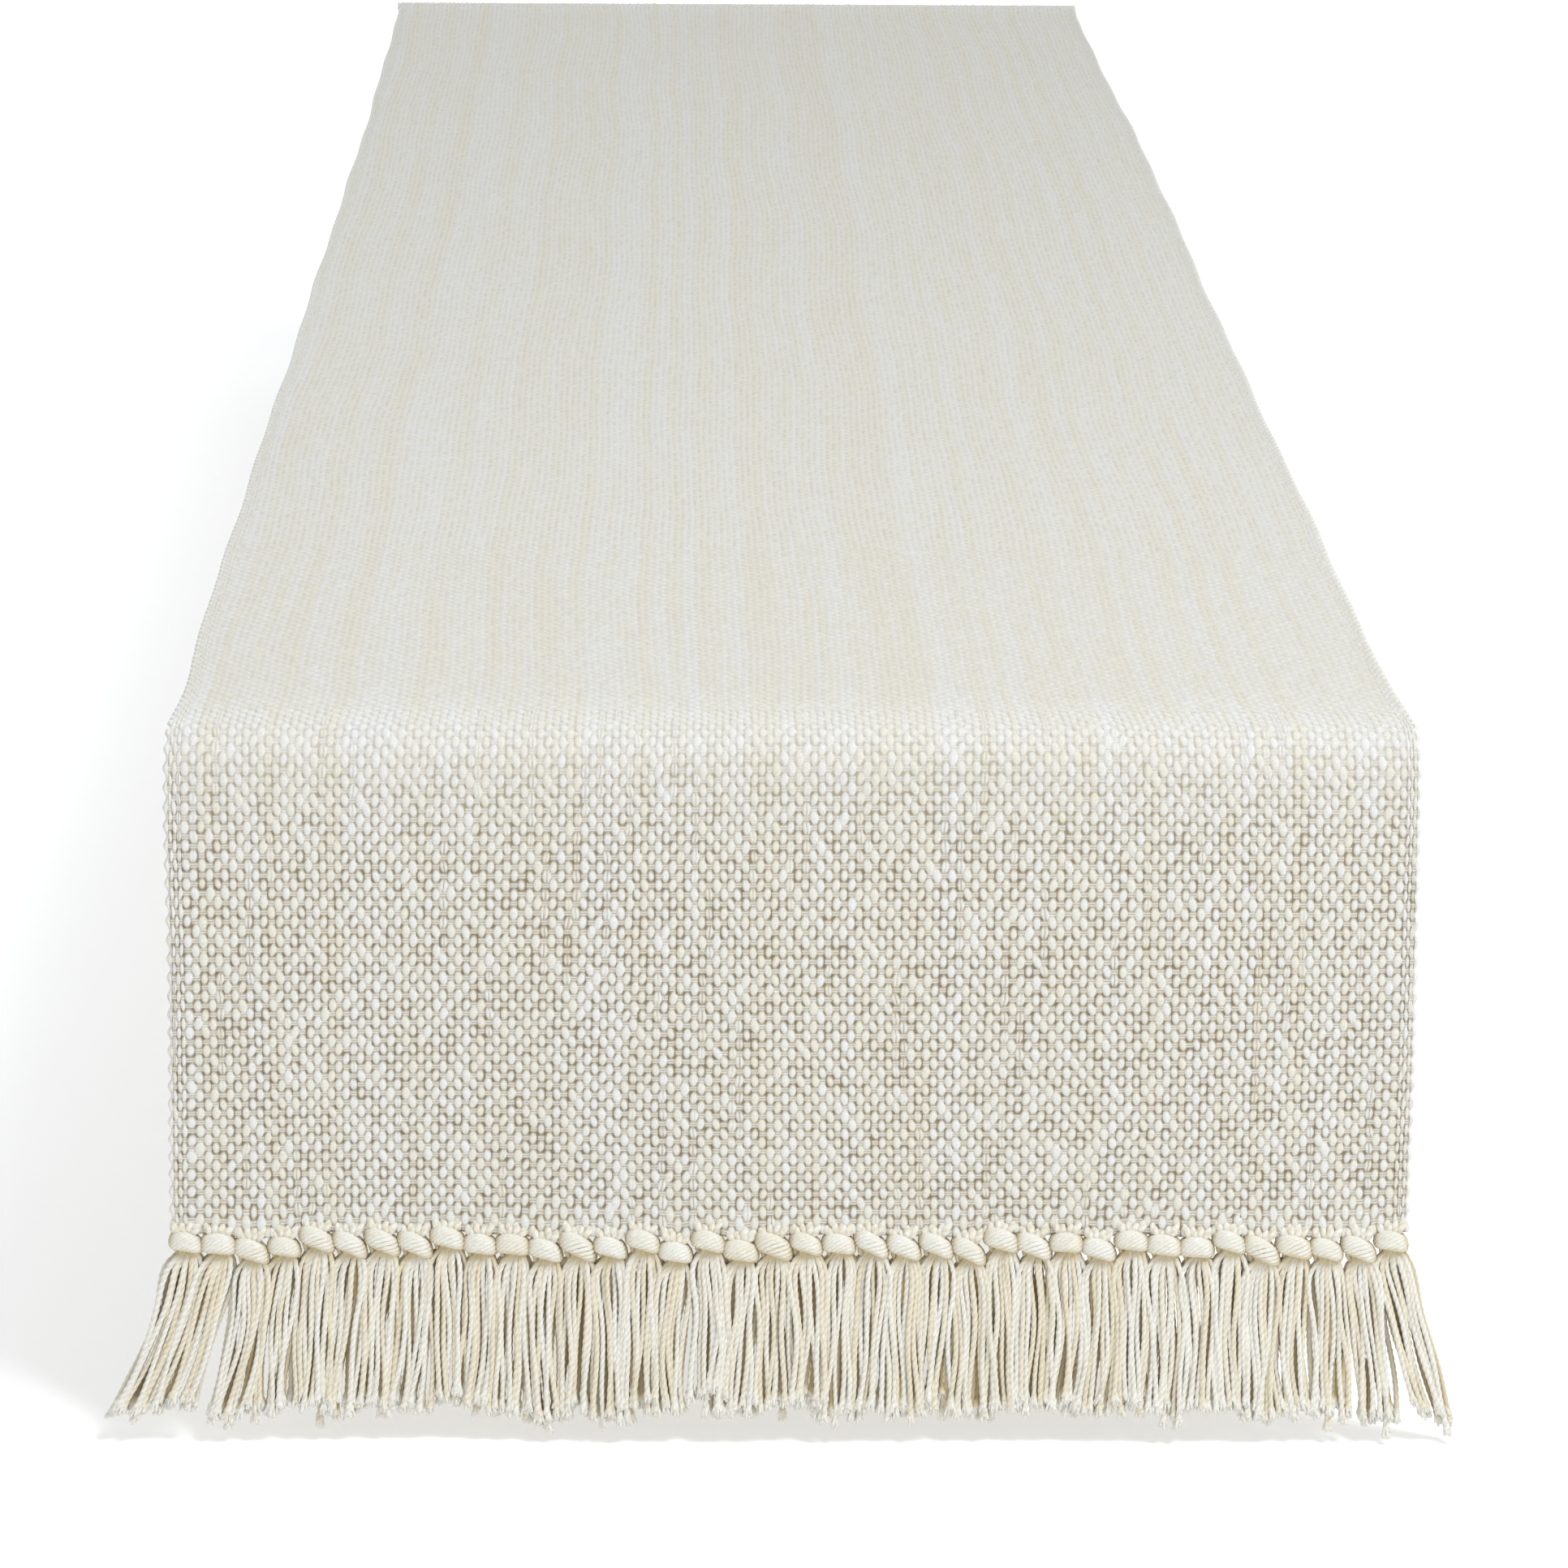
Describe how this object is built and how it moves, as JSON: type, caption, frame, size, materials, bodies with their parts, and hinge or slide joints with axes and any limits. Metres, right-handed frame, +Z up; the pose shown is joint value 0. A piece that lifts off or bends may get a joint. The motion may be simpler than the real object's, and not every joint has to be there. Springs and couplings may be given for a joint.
{
  "type": "table runner",
  "caption": "Long woven cotton table runner draped over a table, both ends hanging and finished with knotted tassel fringe.",
  "frame": {"origin": "on the tabletop under the middle of the runner, at the centre of the top panel's underside", "axes": "+X across the runner, +Y along it towards the back end, +Z up; the front end hangs at -Y"},
  "size_m": [0.356, 1.5324, 0.189],
  "materials": {
    "cloth": "matt undyed cotton basket weave in cream and off-white yarn",
    "fringe": "matt two-ply cotton yarn in cream and off-white, knotted and loosely frayed"
  },
  "bodies": {
    "table_span": {"top_panel": "cloth", "front_edge_fold": "cloth", "back_edge_fold": "cloth"},
    "front_drop": {"front_drop_panel": "cloth"},
    "back_drop": {"back_drop_panel": "cloth"},
    "front_fringe": {"front_tassel_01": "fringe", "front_tassel_02": "fringe", "front_tassel_03": "fringe", "front_tassel_04": "fringe", "front_tassel_05": "fringe", "front_tassel_06": "fringe", "front_tassel_07": "fringe", "front_tassel_08": "fringe", "front_tassel_09": "fringe", "front_tassel_10": "fringe", "front_tassel_11": "fringe", "front_tassel_12": "fringe", "front_tassel_13": "fringe", "front_tassel_14": "fringe", "front_tassel_15": "fringe", "front_tassel_16": "fringe", "front_tassel_17": "fringe", "front_tassel_18": "fringe", "front_tassel_19": "fringe", "front_tassel_20": "fringe", "front_tassel_21": "fringe", "front_tassel_22": "fringe", "front_tassel_23": "fringe", "front_tassel_24": "fringe", "front_tassel_25": "fringe", "front_tassel_26": "fringe", "front_tassel_27": "fringe", "front_tassel_28": "fringe", "front_tassel_29": "fringe", "front_tassel_30": "fringe", "front_tassel_31": "fringe", "front_tassel_32": "fringe", "front_tassel_33": "fringe", "front_tassel_34": "fringe", "front_tassel_35": "fringe", "front_tassel_36": "fringe", "front_tassel_37": "fringe", "front_tassel_38": "fringe"},
    "back_fringe": {"back_tassels_01": "fringe", "back_tassels_02": "fringe", "back_tassels_03": "fringe", "back_tassels_04": "fringe", "back_tassels_05": "fringe", "back_tassels_06": "fringe", "back_tassels_07": "fringe", "back_tassels_08": "fringe", "back_tassels_09": "fringe", "back_tassels_10": "fringe", "back_tassels_11": "fringe", "back_tassels_12": "fringe", "back_tassels_13": "fringe"}
  },
  "joints": [
    {"name": "front_fold", "type": "hinge", "parent": "table_span", "child": "front_drop", "pos_m": [0, -0.76085, -0.00115], "axis": [-1, 0, 0], "range_deg": [0, 90], "deforming": ["front_edge_fold"]},
    {"name": "back_fold", "type": "hinge", "parent": "table_span", "child": "back_drop", "pos_m": [0, 0.76085, -0.00115], "axis": [1, 0, 0], "range_deg": [0, 90], "deforming": ["back_edge_fold"]},
    {"name": "front_fringe_swing", "type": "hinge", "parent": "front_drop", "child": "front_fringe", "pos_m": [0, -0.763, -0.135], "axis": [-1, 0, 0], "range_deg": [-90, 90]},
    {"name": "back_fringe_swing", "type": "hinge", "parent": "back_drop", "child": "back_fringe", "pos_m": [0, 0.763, -0.135], "axis": [1, 0, 0], "range_deg": [-90, 90]}
  ]
}
